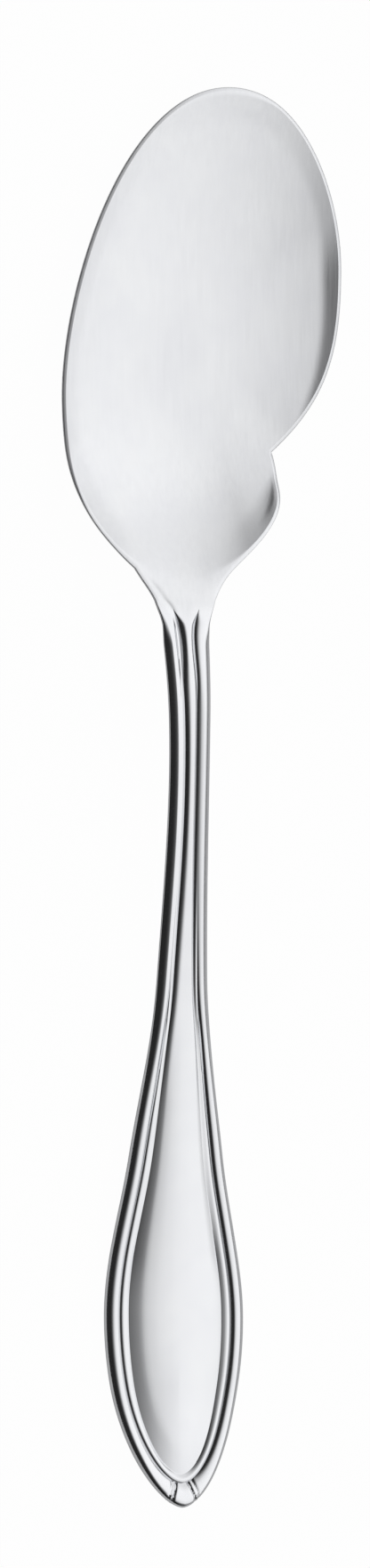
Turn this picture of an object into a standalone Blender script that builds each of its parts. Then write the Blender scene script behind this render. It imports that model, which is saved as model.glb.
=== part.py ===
"""A stainless steel sauce spoon lying face up: a flat bowl with a notched side, on a threaded handle.

Metres, +Z up, +Y towards the tip of the bowl, +X towards the notched side, and the table at Z = 0.
The bowl and the handle meet on a flat plane across the neck. Both are built from that plane at Y = 0, and an
empty carries them, so that the origin lies under the middle of the spoon.
"""

import math

import bmesh
import bpy
from mathutils import Vector
from mathutils.geometry import interpolate_bezier

# Outline of the handle, from its tip to the neck. The nose is the small blunt end of the tip.
HANDLE_LENGTH = 0.1195
HANDLE_WIDTH = 0.0198
WIDEST_FROM_TIP = 0.0250
TIP_FULLNESS = 0.60
STEM_WIDTH = 0.0055
STEM_FROM_NECK = 0.0225
THROAT_WIDTH = 0.0065
THROAT_FROM_NECK = 0.0035
NECK_WIDTH = 0.0081
NOSE_LENGTH = 0.0003
# The taper from the end to the stem: shares of the way along, and of the width that is still to lose
TAPER = ((0.295, 0.549), (0.622, 0.111))

# Side view of the handle: heights of the middle of the steel, and its thickness
TIP_LIFT = 0.0032
REST_FROM_TIP = 0.0130
REST_LENGTH = 0.0150
CREST_HEIGHT = 0.0089
CREST_FROM_NECK = 0.0145
NECK_HEIGHT = 0.0076
TIP_THICKNESS = 0.0017
END_THICKNESS = 0.0024
CREST_THICKNESS = 0.0032
NECK_THICKNESS = 0.0026

# Border of the handle: the outer bead, the groove, the narrow inner thread and the raised panel
BEAD_WIDTH = 0.0022
GROOVE_DEPTH = 0.0008
GROOVE_FROM_NECK = 0.0012
GROOVE_RUN_OUT = 0.0060
THREAD_WIDTH = 0.0010
THREAD_DROP = 0.0002
EDGE_ROUNDING = 0.0003
EDGE_RUN_OUT = 0.0080
# How much of the thickness the underside rounds off at the sides
UNDERSIDE_ROUNDING = 0.4
# Places of the mesh lines across the bead, from its side to the groove, and across half the panel
BEAD_SHARES = (0.0, 0.12, 0.5, 0.88, 1.0)
PANEL_SHARES = (0.85, 0.45)
PANEL_ROUNDNESS = 2

# Outline of the bowl, from the neck plane and to either side of the middle of the handle
BOWL_LENGTH = 0.0680
TIP_OFFSET = 0.0088
RIGHT_REACH = 0.0246
RIGHT_REACH_FROM_NECK = 0.0440
LEFT_REACH = 0.0156
LEFT_REACH_FROM_NECK = 0.0262
NOTCH_OFFSET = 0.01455
NOTCH_FROM_NECK = 0.0198
LOBE_BULGE = 0.0002
LOBE_BEHIND_NOTCH = 0.0049
HEEL_FLARE_RIGHT = 0.00275
HEEL_FLARE_LEFT = 0.0029
HEEL_FROM_NECK = 0.0042
OVAL_FROM_NECK = 0.0019
# The pressed oval is fuller than the cut rim on the right, beside the notch
PRESS_REACH = 0.02475
PRESS_REACH_FROM_NECK = 0.0390
# Directions of the outline, in degrees, and the fullness of the curve that follows each of its places
NECK_LEAN = 24.0
HEEL_TURN = 42.0
HEEL_KINK = 18.0
NOTCH_TURN_IN = 100.0
NOTCH_TURN_OUT = 47.0
NECK_FULLNESS = 0.35
HEEL_FULLNESS = 0.33
LOBE_FULLNESS = 0.45
NOTCH_FULLNESS = 0.40
RIGHT_FULLNESS = 0.37
TIP_LEFT_FULLNESS = 0.31
LEFT_FULLNESS = 0.44

# Heights and thickness of the bowl. The dish is deepest at a place that it shares with no edge.
RIM_HEIGHT = 0.0043
RIM_LOW_FROM_NECK = 0.0330
TIP_HEIGHT = 0.0046
RIM_THICKNESS = 0.0013
FLOOR_THICKNESS = 0.0014
RIM_CHAMFER = 0.0002
DEEPEST_OFFSET = 0.0046
DEEPEST_FROM_NECK = 0.0370
FLOOR_SHARE = 0.22
WALL_POWER = 2.1
NECK_SWEEP = 0.94
NECK_RISE = ((1.63, 3), (-0.63, 7))
NECK_SPREAD = math.radians(28.0)
NECK_BLEND = 0.0140

# Fineness of the meshes
TIP_STEPS = 12
TIP_CROWDING = 1.6
STEP_ALONG_HANDLE = 0.0035
STEP_AT_NECK = 0.0016
RIM_STEPS = (4, 6, 5, 12, 12, 18, 12, 4)
OVAL_STEPS = (6, 24, 12, 18, 12, 6)
RINGS = (0.44, 0.58, 0.70, 0.80, 0.89, 0.95)
# A ray through a corner of an outline still meets one of its two sides
CORNER_SLACK = 1e-5

STEEL_COLOUR = (0.72, 0.72, 0.73, 1.0)
SATIN_ROUGHNESS = 0.38
POLISHED_ROUGHNESS = 0.12
SHARP_ANGLE = math.radians(40.0)


def clear_scene():
    for thing in list(bpy.data.objects):
        bpy.data.objects.remove(thing, do_unlink=True)


def steel(name, roughness):
    material = bpy.data.materials.new(name)
    material.use_nodes = True
    shader = material.node_tree.nodes["Principled BSDF"]
    shader.inputs["Base Color"].default_value = STEEL_COLOUR
    shader.inputs["Metallic"].default_value = 1.0
    shader.inputs["Roughness"].default_value = roughness
    return material


def blend(start, end, share):
    return start + (end - start) * share


def ease(share):
    """A smooth step from 0 to 1."""
    share = min(max(share, 0.0), 1.0)
    return share * share * (3.0 - 2.0 * share)


def round_drop(share):
    """How far a half-round form has dropped, from 0 at its crown to 1 at its side."""
    return 1.0 - math.sqrt(max(0.0, 1.0 - share * share))


def curve_through(*points, level_start=False):
    """A smooth curve through (place, value) points, which doesn't swing past any of them."""
    spans = list(zip(points, points[1:]))
    rises = [(b[1] - a[1]) / (b[0] - a[0]) for a, b in spans]
    slopes = [0.0 if level_start else rises[0]]
    for before, after in zip(rises, rises[1:]):
        slopes.append(2.0 * before * after / (before + after) if before * after > 0.0 else 0.0)
    slopes.append(rises[-1])

    def value_at(place):
        index = 0
        while index < len(spans) - 1 and place > spans[index][1][0]:
            index += 1
        (start, low), (end, high) = spans[index]
        length = end - start
        t = (place - start) / length
        return (
            low * (1 + 2 * t) * (1 - t) ** 2
            + slopes[index] * length * t * (1 - t) ** 2
            + high * t * t * (3 - 2 * t)
            + slopes[index + 1] * length * t * t * (t - 1)
        )

    return value_at


# Curves of the handle along its length, by the distance from its tip
stem_from_tip = HANDLE_LENGTH - STEM_FROM_NECK
crest_from_tip = HANDLE_LENGTH - CREST_FROM_NECK
rest_end = REST_FROM_TIP + REST_LENGTH
taper_knots = [
    (blend(WIDEST_FROM_TIP, stem_from_tip, along), blend(STEM_WIDTH, HANDLE_WIDTH, left) / 2)
    for along, left in TAPER
]
side_of_handle = curve_through(
    (WIDEST_FROM_TIP, HANDLE_WIDTH / 2),
    *taper_knots,
    (stem_from_tip, STEM_WIDTH / 2),
    (HANDLE_LENGTH - THROAT_FROM_NECK, THROAT_WIDTH / 2),
    (HANDLE_LENGTH, NECK_WIDTH / 2),
    level_start=True,
)
middle_height = curve_through(
    (0.0, END_THICKNESS / 2 + TIP_LIFT),
    (REST_FROM_TIP, END_THICKNESS / 2),
    (rest_end, END_THICKNESS / 2),
    (crest_from_tip, CREST_HEIGHT),
    (HANDLE_LENGTH, NECK_HEIGHT),
)
thickness = curve_through(
    (0.0, TIP_THICKNESS),
    (REST_FROM_TIP, END_THICKNESS),
    (rest_end, END_THICKNESS),
    (crest_from_tip, CREST_THICKNESS),
    (HANDLE_LENGTH, NECK_THICKNESS),
)


def half_width(place):
    """Half the width of the handle: a pointed arch up to the widest place, then the long taper."""
    if place >= WIDEST_FROM_TIP:
        return side_of_handle(place)
    to_widest = 1.0 - place / WIDEST_FROM_TIP
    return HANDLE_WIDTH / 2 * (1.0 - to_widest**2) ** TIP_FULLNESS


def bead_across(place, half):
    """The width of the outer bead, measured straight across the handle. Each takes a third of the stem."""
    step = NOSE_LENGTH / 2
    lean = (half_width(place + step) - half_width(place - step)) / (2 * step)
    bead = BEAD_WIDTH * half / (half + STEM_WIDTH / 6) * math.hypot(1.0, lean)
    return min(bead, half * 2 / 3)


def section(place):
    """The cross-section of the handle at a distance from its tip: (x, z) points from left to right.

    The first list is the top and the second is the underside, on the same x places.
    """
    half = half_width(place)
    top = middle_height(place) + thickness(place) / 2
    base = middle_height(place) - thickness(place) / 2
    to_neck = HANDLE_LENGTH - place
    away_from_neck = ease(to_neck / EDGE_RUN_OUT)
    bead = bead_across(place, half)
    inner = half - bead
    thread = THREAD_WIDTH * inner / (inner + THREAD_WIDTH)
    panel = inner - thread
    panelled = ease((inner - STEM_WIDTH / 6) / BEAD_WIDTH)
    depth = GROOVE_DEPTH * ease((to_neck - GROOVE_FROM_NECK) / GROOVE_RUN_OUT) * ease(half / BEAD_WIDTH)
    rounding = blend(EDGE_ROUNDING, (top - base) / 2, away_from_neck)

    right = []
    for share in BEAD_SHARES:
        across = 2.0 * share - 1.0
        fall = rounding if across < 0.0 else depth
        right.append((half - share * bead, fall * round_drop(abs(across))))
    middle = [(inner - thread / 2, min(THREAD_DROP, depth / 2)), (panel, depth)]
    middle += [(panel * share, depth * share**PANEL_ROUNDNESS) for share in PANEL_SHARES]
    for x, drop in middle:
        right.append((x, blend(depth * round_drop(x / inner), drop, panelled)))

    drops = [(-x, drop) for x, drop in right] + [(0.0, 0.0)] + [(x, drop) for x, drop in reversed(right)]
    upper = [(x, top - drop) for x, drop in drops]
    belly_reach = blend(half, bead / 2, away_from_neck)
    belly_rise = blend(top - base - RIM_THICKNESS, (top - base) * UNDERSIDE_ROUNDING, away_from_neck)
    lower = []
    for x, _ in drops:
        from_flat = max(0.0, 1.0 - (half - abs(x)) / belly_reach)
        rise = blend(ease(from_flat), round_drop(from_flat), away_from_neck)
        lower.append((x, base + belly_rise * rise))
    return upper, lower


def handle_stations():
    """Places along the handle: close together in the pointed tip and at the neck."""
    places = []
    for step in range(TIP_STEPS):
        places.append(blend(NOSE_LENGTH, REST_FROM_TIP, (step / TIP_STEPS) ** TIP_CROWDING))
    neck_start = HANDLE_LENGTH - EDGE_RUN_OUT
    spans = (
        (REST_FROM_TIP, rest_end, STEP_ALONG_HANDLE),
        (rest_end, neck_start, STEP_ALONG_HANDLE),
        (neck_start, HANDLE_LENGTH, STEP_AT_NECK),
    )
    for start, end, length in spans:
        steps = max(1, round((end - start) / length))
        places += [blend(start, end, step / steps) for step in range(steps)]
    return places + [HANDLE_LENGTH]


def join_loops(bm, loops):
    """Skins closed loops of points in turn, and closes both ends with a flat face."""
    rings = []
    for loop in loops:
        corners = [bm.verts.new(point) for point in loop]
        rings.append([bm.edges.new(pair) for pair in zip(corners, corners[1:] + corners[:1])])
    for before, after in zip(rings, rings[1:]):
        bmesh.ops.bridge_loops(bm, edges=before + after)
    bmesh.ops.holes_fill(bm, edges=rings[0] + rings[-1], sides=0)
    bmesh.ops.recalc_face_normals(bm, faces=bm.faces[:])


def finish_piece(name, bm, material, holder):
    mesh = bpy.data.meshes.new(name)
    bm.to_mesh(mesh)
    bm.free()
    mesh.shade_smooth()
    mesh.set_sharp_from_angle(angle=SHARP_ANGLE)
    mesh.materials.append(material)
    piece = bpy.data.objects.new(name, mesh)
    piece.parent = holder
    bpy.context.scene.collection.objects.link(piece)
    return piece


def make_handle(holder):
    loops = []
    for place in handle_stations():
        upper, lower = section(place)
        loops.append([(x, place - HANDLE_LENGTH, z) for x, z in upper + lower[::-1]])
    bm = bmesh.new()
    join_loops(bm, loops)
    return finish_piece("handle", bm, steel("polished_steel", POLISHED_ROUGHNESS), holder)


def outline_through(knots, steps):
    """Plan points of a curve from knot to knot, without its two ends.

    A knot is its place, the heading of the outline as it arrives and as it leaves, in degrees from +X, and
    the fullness of the curve after it.
    """
    outline = []
    for (start, end), count in zip(zip(knots, knots[1:]), steps):
        reach = math.dist(start[0], end[0]) * start[3]
        leave = math.radians(start[2])
        arrive = math.radians(end[1])
        first = Vector((*start[0], 0.0))
        last = Vector((*end[0], 0.0))
        first_handle = first + reach * Vector((math.cos(leave), math.sin(leave), 0.0))
        last_handle = last - reach * Vector((math.cos(arrive), math.sin(arrive), 0.0))
        outline += interpolate_bezier(first, first_handle, last_handle, last, count + 1)[:-1]
    return [point.xy for point in outline[1:]]


def bowl_outlines():
    """The cut rim, and the whole oval of the pressed dish that the neck, the notch and the lobe leave.

    The rim runs from the right side of the neck, round the tip, to the left side of the neck. The oval is
    closed across the heel.
    """
    side = NECK_WIDTH / 2
    out, up, back, down = (0.0, 90.0, 180.0, 270.0)
    neck_right = ((side, 0.0), up - NECK_LEAN, up - NECK_LEAN, NECK_FULLNESS)
    heel_right = ((side + HEEL_FLARE_RIGHT, HEEL_FROM_NECK), HEEL_TURN, HEEL_TURN, HEEL_FULLNESS)
    lobe_place = (NOTCH_OFFSET + LOBE_BULGE, NOTCH_FROM_NECK - LOBE_BEHIND_NOTCH)
    lobe = (lobe_place, up, up, LOBE_FULLNESS)
    notch = ((NOTCH_OFFSET, NOTCH_FROM_NECK), NOTCH_TURN_IN, NOTCH_TURN_OUT, NOTCH_FULLNESS)
    right = ((RIGHT_REACH, RIGHT_REACH_FROM_NECK), up, up, RIGHT_FULLNESS)
    tip = ((TIP_OFFSET, BOWL_LENGTH), back, back, TIP_LEFT_FULLNESS)
    left = ((-LEFT_REACH, LEFT_REACH_FROM_NECK), down, down, LEFT_FULLNESS)
    heel_place = (-side - HEEL_FLARE_LEFT, HEEL_FROM_NECK)
    heel_left = (heel_place, -HEEL_TURN, -HEEL_TURN - HEEL_KINK, NECK_FULLNESS)
    neck_left = ((-side, 0.0), down + NECK_LEAN, down + NECK_LEAN, NECK_FULLNESS)
    rest = (right, tip, left, heel_left)
    rim = outline_through((neck_right, heel_right, lobe, notch, *rest, neck_left), RIM_STEPS)
    heel_middle = ((0.0, OVAL_FROM_NECK), out, out, HEEL_FULLNESS)
    press_right = ((PRESS_REACH, PRESS_REACH_FROM_NECK), up, up, RIGHT_FULLNESS)
    oval = outline_through((heel_middle, heel_right, press_right, *rest[1:], heel_middle), OVAL_STEPS)
    return rim, oval


def reach_of(outline, middle, towards):
    """The distance from the middle to a closed outline, in the direction of a point."""
    ray = (towards - middle).normalized()
    reach = 0.0
    for a, b in zip(outline, outline[1:] + outline[:1]):
        side = b - a
        turn = ray.cross(side)
        if turn == 0.0:
            continue
        along_side = (a - middle).cross(ray) / turn
        distance = (a - middle).cross(side) / turn
        if -CORNER_SLACK <= along_side <= 1.0 + CORNER_SLACK:
            reach = max(reach, distance)
    return reach


rim_height = curve_through(
    (0.0, NECK_HEIGHT + NECK_THICKNESS / 2),
    (RIM_LOW_FROM_NECK, RIM_HEIGHT),
    (BOWL_LENGTH, TIP_HEIGHT),
    level_start=True,
)


def bowl_columns():
    """The lines of the bowl's mesh from its middle to its edge.

    Each has its plan end, its share of the oval, its neckness and the height of the oval's rim.
    """
    middle = Vector((DEEPEST_OFFSET, DEEPEST_FROM_NECK))
    rim, oval = bowl_outlines()
    neck = [Vector((x, 0.0)) for x, _ in section(HANDLE_LENGTH)[0]]
    columns = []
    for end in neck + rim:
        fill = (end - middle).length / reach_of(oval, middle, end)
        turn = (end - middle).angle(-middle)
        neckness = math.exp(-((turn / NECK_SPREAD) ** 2))
        columns.append((end, fill, neckness, rim_height(middle.lerp(end, 1.0 / fill).y)))
    return middle, columns, len(neck)


def dish_top(column, share):
    """The height inside the bowl at a share of the way from its middle to its edge.

    A side wall rises evenly, and the way to the neck rises late and rounds over.
    """
    _, fill, neckness, height = column
    risen = max(0.0, (share * fill - FLOOR_SHARE) / (1.0 - FLOOR_SHARE))
    wall = min(risen, 1.0) ** WALL_POWER
    sweep = sum(factor * (risen * NECK_SWEEP) ** power for factor, power in NECK_RISE)
    return blend(FLOOR_THICKNESS, height, blend(wall, sweep, neckness))


def dish_thickness(point, share):
    """The thickness of the bowl, with the belly under the neck fading out towards the middle."""
    risen = max(0.0, (share - FLOOR_SHARE) / (1.0 - FLOOR_SHARE))
    sheet = blend(FLOOR_THICKNESS, RIM_THICKNESS, risen**2)
    away = point.y / NECK_BLEND
    belly_half = NECK_WIDTH / 2 * (1.0 + away)
    belly = ease(1.0 - abs(point.x) / belly_half)
    return sheet + (NECK_THICKNESS - RIM_THICKNESS) * belly * ease(1.0 - away)


def make_bowl(holder):
    middle, columns, neck_count = bowl_columns()
    upper, lower = section(HANDLE_LENGTH)

    def ring(share, under):
        points = []
        for column in columns:
            point = middle.lerp(column[0], share)
            drop = dish_thickness(point, share) if under else 0.0
            points.append((*point, dish_top(column, share) - drop))
        return points

    def edge(inset, share):
        """One loop of the ground edge. Across the neck it divides the flat joint face."""
        points = []
        for index, column in enumerate(columns):
            end = column[0]
            if index < neck_count:
                points.append((*end, blend(upper[index][1], lower[index][1], share)))
                continue
            inward = (middle - end).normalized() * inset
            points.append((*(end + inward), dish_top(column, 1.0) - dish_thickness(end, 1.0) * share))
        return points

    chamfer = RIM_CHAMFER / RIM_THICKNESS
    flat_share = FLOOR_SHARE / max(fill for _, fill, _, _ in columns)
    shares = (flat_share, *RINGS)
    loops = [ring(share, under=False) for share in shares]
    loops += [edge(RIM_CHAMFER, 0.0), edge(0.0, chamfer)]
    loops += [edge(0.0, 1.0 - chamfer), edge(RIM_CHAMFER, 1.0)]
    loops += [ring(share, under=True) for share in reversed(shares)]
    bm = bmesh.new()
    join_loops(bm, loops)
    return finish_piece("bowl", bm, steel("satin_steel", SATIN_ROUGHNESS), holder)


def centre_under(holder, pieces):
    """Moves the holder so that the origin lies under the middle of the pieces."""
    corners = [vertex.co for piece in pieces for vertex in piece.data.vertices]
    for axis in (0, 1):
        values = [corner[axis] for corner in corners]
        holder.location[axis] = -(min(values) + max(values)) / 2


clear_scene()
spoon = bpy.data.objects.new("sauce_spoon", None)
bpy.context.scene.collection.objects.link(spoon)
bowl = make_bowl(spoon)
handle = make_handle(spoon)
centre_under(spoon, [bowl, handle])
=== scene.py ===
# %% [markdown]
# # A steel sauce spoon
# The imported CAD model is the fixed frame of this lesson. It has the real sizes, but its faces are coarse
# and its steel is plain. Its meshes could be sculpted. The bowl and the handle are modelled again instead,
# on the same plane across the neck, because the fine border needs a mesh that follows its lines.

# %% Load the frame
import math
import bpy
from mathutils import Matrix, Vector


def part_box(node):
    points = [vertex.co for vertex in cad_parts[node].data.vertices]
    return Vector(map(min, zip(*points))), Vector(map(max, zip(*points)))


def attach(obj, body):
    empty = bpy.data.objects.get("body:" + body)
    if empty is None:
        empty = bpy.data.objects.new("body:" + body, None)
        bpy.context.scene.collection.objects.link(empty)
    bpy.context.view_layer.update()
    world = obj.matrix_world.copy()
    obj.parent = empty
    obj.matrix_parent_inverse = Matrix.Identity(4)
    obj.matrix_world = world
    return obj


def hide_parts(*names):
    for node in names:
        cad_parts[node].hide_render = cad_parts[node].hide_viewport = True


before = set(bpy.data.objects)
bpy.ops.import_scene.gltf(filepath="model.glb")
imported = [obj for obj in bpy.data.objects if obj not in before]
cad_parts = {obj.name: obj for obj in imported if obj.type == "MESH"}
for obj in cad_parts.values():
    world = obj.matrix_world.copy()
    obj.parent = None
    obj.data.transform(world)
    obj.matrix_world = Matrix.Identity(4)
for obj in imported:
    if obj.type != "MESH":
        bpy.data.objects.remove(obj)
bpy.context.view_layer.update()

from types import SimpleNamespace

import bmesh
import bpy
from mathutils import Matrix, Vector
from mathutils.geometry import interpolate_bezier

MM = 0.001


def in_mm(length):
    return round(length / MM, 2)


# %% [markdown]
# ## Where things are
# Everything is measured from two places in the frame: the plane across the neck, where the bowl and the
# handle meet, and the handle's middle line. "Along" is the distance from the point of the handle, and
# "across" is the distance to the right of the middle line. They are easier to read than coordinates, and
# they stay right if the CAD model moves.

# %% Places taken from the frame
NOSE = 0.3 * MM  # the CAD solid ends in a small blunt nose, and the fine handle runs on to the point

handle_low, handle_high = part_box("handle")
neck_y = handle_high.y
middle_x = (handle_low.x + handle_high.x) / 2
handle_width = handle_high.x - handle_low.x
handle_length = neck_y - handle_low.y + NOSE


def on_spoon(across, along, height):
    return Vector((middle_x + across, neck_y - handle_length + along, height))


print("neck plane at y", in_mm(neck_y), "mm, handle", in_mm(handle_length), "mm long")

# %% [markdown]
# ## Curves for forged shapes
# A forged handle has no straight lines: its width, height and thickness swell and shrink smoothly. Drawn
# curves could be sampled for that. A function through a few measured points is easier to read and change.
# It never swings past its points, so a flat stays flat.


# %% Blends and smooth curves
def mix(start, end, share):
    return start + (end - start) * share


def ease(share):
    """A smooth step from 0 to 1."""
    share = min(max(share, 0.0), 1.0)
    return share * share * (3.0 - 2.0 * share)


def hump(beside, half):
    """1 in the middle of a smooth hump, fading to 0 on both sides."""
    return math.exp(-((beside / half) ** 2))


def curve_through(*points, level_start=False):
    """A smooth curve through (place, value) points in millimetres."""
    points = [(place * MM, value * MM) for place, value in points]
    spans = list(zip(points, points[1:]))
    rises = [(b[1] - a[1]) / (b[0] - a[0]) for a, b in spans]
    slopes = [0.0 if level_start else rises[0]]
    for before, after in zip(rises, rises[1:]):
        slopes.append(2.0 * before * after / (before + after) if before * after > 0.0 else 0.0)
    slopes.append(rises[-1])

    def value_at(place):
        index = 0
        while index < len(spans) - 1 and place > spans[index][1][0]:
            index += 1
        (start, low), (end, high) = spans[index]
        length = end - start
        t = (place - start) / length
        return (
            low * (1 + 2 * t) * (1 - t) ** 2
            + slopes[index] * length * t * (1 - t) ** 2
            + high * t * t * (3 - 2 * t)
            + slopes[index + 1] * length * t * t * (t - 1)
        )

    return value_at


print("an eased step:", [ease(i / 4) for i in range(5)])

# %% [markdown]
# ## The handle, seen from above
# The end of the handle is a pointed leaf, which tapers to a thin stem and opens again at the neck. A box
# could be pushed into that outline by hand. The numbers of a curve can be checked with a ruler instead.

# %% Widths along the handle
WIDEST = 25.0 * MM
POINT_FULLNESS = 0.60
half_stem = curve_through(
    (25.0, handle_width / 2 / MM), (46.2, 6.68), (69.8, 3.52), (97.0, 2.78), (116.0, 3.28), (119.5, 4.25),
    level_start=True,
)


def half_width(along):
    """Half the width of the handle: a pointed arch up to the widest place, then the long taper."""
    if along >= WIDEST:
        return half_stem(along)
    return handle_width / 2 * (1.0 - (1.0 - along / WIDEST) ** 2) ** POINT_FULLNESS


print("half widths in mm:", [in_mm(half_width(a * MM)) for a in (2, 10, 25, 60, 97, 119.5)])

# %% [markdown]
# ## The handle, seen from the side
# The end lies flat on the table with its point turned up a little, and the stem arches up to the neck. A
# modifier could bend a flat handle. Two curves, for the middle of the steel and for its thickness, also
# thin the steel towards the point.

# %% Heights along the handle
middle_height = curve_through((0.0, 4.8), (16.0, 1.7), (28.0, 1.7), (66.0, 4.55), (105.0, 8.6), (119.5, 7.1))
thickness = curve_through((0.0, 1.8), (16.0, 3.4), (28.0, 3.4), (105.0, 3.2), (119.5, 2.6))


def top_of_handle(along):
    return middle_height(along) + thickness(along) / 2


print("top heights in mm:", [in_mm(top_of_handle(a * MM)) for a in (0, 16, 28, 66, 105, 119.5)])

# %% [markdown]
# ## Columns of the mesh
# The handle will be a grid: rings that follow its border, crossed by columns. Equal columns would be too
# coarse where the border turns round the point and where the grooves start. So the columns fan round the
# point and stand closer together at the neck.

# %% Turns round the point and stations along the stem
POINT_COLUMNS = 72
POINT_CROWDING = 1.3
STEM_STEP, NECK_STEP = 0.75 * MM, 0.2 * MM
NECK_ZONE = 9.0 * MM

turns = [math.pi / 2 * (i / POINT_COLUMNS) ** POINT_CROWDING for i in range(POINT_COLUMNS + 1)]
stations = []
for start, end, step in (
    (WIDEST, handle_length - NECK_ZONE, STEM_STEP),
    (handle_length - NECK_ZONE, handle_length, NECK_STEP),
):
    count = round((end - start) / step)
    stations += [mix(start, end, (i + 1) / count) for i in range(count)]
print("columns round the point:", len(turns), "and along the stem:", len(stations))

# %% [markdown]
# ## Lines that run round the handle
# The border is struck into the steel by a die: a round bead along the edge, a groove, a narrow thread, a
# second groove, and the raised panel inside. Booleans could cut it, but they leave ragged lines. Here the
# mesh itself follows the border round the point. Four lines carry it: the edge, the two grooves and the
# middle line. Each is a chain of plan points from the tip to the neck.

# %% The four lines
bead_width = curve_through(
    (25.0, 2.00), (46.0, 1.95), (64.0, 1.65), (85.0, 1.62), (100.0, 1.55), (114.0, 1.55), (119.5, 1.65)
)
thread_width = curve_through(
    (25.0, 1.30), (46.0, 1.10), (64.0, 0.50), (85.0, 0.45),
    (108.0, 0.50), (114.5, 0.82), (117.8, 0.50), (119.5, 0.35),
)
GROOVE_TIP, GROOVE_FULLNESS = 3.2 * MM, 0.56
VALLEY_TIP, VALLEY_FULLNESS = 4.4 * MM, 0.54
MIDDLE_TIP = 18.0 * MM


def line_round_handle(tip, fullness, inset):
    """Plan points of a line that starts on the middle line at its tip and runs inside the edge."""
    reach = half_width(WIDEST) - inset(WIDEST)
    points = []
    for turn in turns:
        along = WIDEST - (WIDEST - tip) * math.cos(turn)
        points.append(Vector((reach * math.sin(turn) ** (2 * fullness), along)))
    for along in stations:
        points.append(Vector((half_width(along) - inset(along), along)))
    return points


edge_line = line_round_handle(0.0, POINT_FULLNESS, lambda along: 0.0)
groove_line = line_round_handle(GROOVE_TIP, GROOVE_FULLNESS, bead_width)
valley_line = line_round_handle(
    VALLEY_TIP, VALLEY_FULLNESS, lambda along: bead_width(along) + thread_width(along)
)
middle_line = line_round_handle(MIDDLE_TIP, POINT_FULLNESS, half_width)
print("columns on each side of the handle:", len(edge_line))

# %% [markdown]
# ## Three shares that shape the relief
# On the stem three rounded ridges stand side by side. Towards the end the middle one opens into the broad
# panel. At the neck the grooves start as pointed wedges, and the edge is as plain as the bowl's rim. Three
# meshes would show seams. So one formula is blended by three shares: struck, rounded and opened.

# %% Struck, rounded and opened
GROOVE_START, GROOVE_RUN = 0.9 * MM, 2.4 * MM
EDGE_RUN = 6.0 * MM
STEM_END = 2 * NECK_ZONE  # nearer to the neck than this, the handle widens but doesn't open
THINNEST = 97.0 * MM
STEM_HALF, OPEN_HALF = half_width(THINNEST), 5.8 * MM


def stage_of(along):
    """How far the grooves are struck, the edge is rounded, and the end of the handle has opened."""
    to_neck = handle_length - along
    struck = ease((to_neck - GROOVE_START) / GROOVE_RUN)
    rounded = ease(to_neck / EDGE_RUN)
    opened = ease((half_width(along) - STEM_HALF) / (OPEN_HALF - STEM_HALF)) if to_neck > STEM_END else 0.0
    return struck, rounded, 1.0 if along < WIDEST else opened


for along in (20.0, 60.0, 97.0, 117.5):
    print("struck, rounded and opened at", along, "mm:", [round(s, 2) for s in stage_of(along * MM)])

# %% [markdown]
# ## Sections of the relief
# Every section across the handle has the same parts: half of the panel or middle ridge, a valley, the
# thread, a groove, the bead and the rounded side. If each part worked out its own sizes, small gaps would
# be left. So shared sizes are worked out once for each column.

# %% Sizes at each column
BEAD_SINK, BEAD_GROOVE = 0.85 * MM, 0.50 * MM  # the bead lies below the panel, and its groove below that
PANEL_CROWN, PANEL_FACET = 1.20 * MM, 0.22 * MM
FULL_PANEL = 5.9 * MM  # a narrower panel has a shallower relief
RIM_ROUND = 0.17 * MM
POINT_ROUND, POINT_RUN = 0.90 * MM, 7.0 * MM
OUTER_SHARE_STEM, OUTER_SHARE_END = 0.60, 0.57  # the part of the bead that rounds over to the edge
THREAD_OPENS = 2.0  # the thread appears sooner than the panel opens
stem_groove = curve_through((64.0, 0.42), (106.0, 0.42), (113.5, 0.54), (119.5, 0.54))


def section_at(edge, groove, valley, middle):
    """The sizes of the relief at one column, from its points on the four lines."""
    struck, rounded, opened = stage_of(edge.y)
    past_point = max(edge.y, WIDEST)
    bead = bead_width(past_point)
    outer_width = mix(RIM_ROUND, mix(OUTER_SHARE_STEM, OUTER_SHARE_END, opened) * bead, rounded)
    outer_width = mix(POINT_ROUND, outer_width, ease(edge.y / POINT_RUN))
    outer = outer_width / (edge - groove).length
    inner_width = (1.0 - outer) * bead
    size = 1.0 if edge.y < WIDEST else min(1.0, valley.x / FULL_PANEL)
    sink = BEAD_SINK * opened * size
    ridge_depth = struck * stem_groove(past_point)
    panel_depth = struck * (PANEL_CROWN + PANEL_FACET) * size
    return SimpleNamespace(
        edge=edge, groove=groove, valley=valley, middle=middle, to_neck=handle_length - edge.y,
        struck=struck, rounded=rounded, opened=opened, bordered=min(1.0, THREAD_OPENS * opened),
        bead=bead, outer_width=outer_width, outer=outer, inner_width=inner_width,
        flank_width=inner_width + thread_width(past_point), size=size, sink=sink, ridge_depth=ridge_depth,
        groove_depth=sink + BEAD_GROOVE * struck, valley_depth=mix(ridge_depth, panel_depth, opened),
    )


sections = [section_at(*points) for points in zip(edge_line, groove_line, valley_line, middle_line)]
print("deepest groove in mm:", in_mm(max(section.groove_depth for section in sections)))

# %% [markdown]
# ## Profiles
# A die leaves few shapes in steel: a ridge with a rounded crest and nearly straight sides, a facet that
# turns away at a bend, and a shoulder that narrows to a wedge where the groove begins. A function for each
# has the roundness in it, so no bevels are needed.


# %% Gable, facet and wedge
def gable_drop(share, crest_round):
    """The fall of a ridge from 0 on its rounded crest to 1 at its foot."""
    return (math.hypot(share, crest_round) - crest_round) / (math.hypot(1.0, crest_round) - crest_round)


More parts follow.
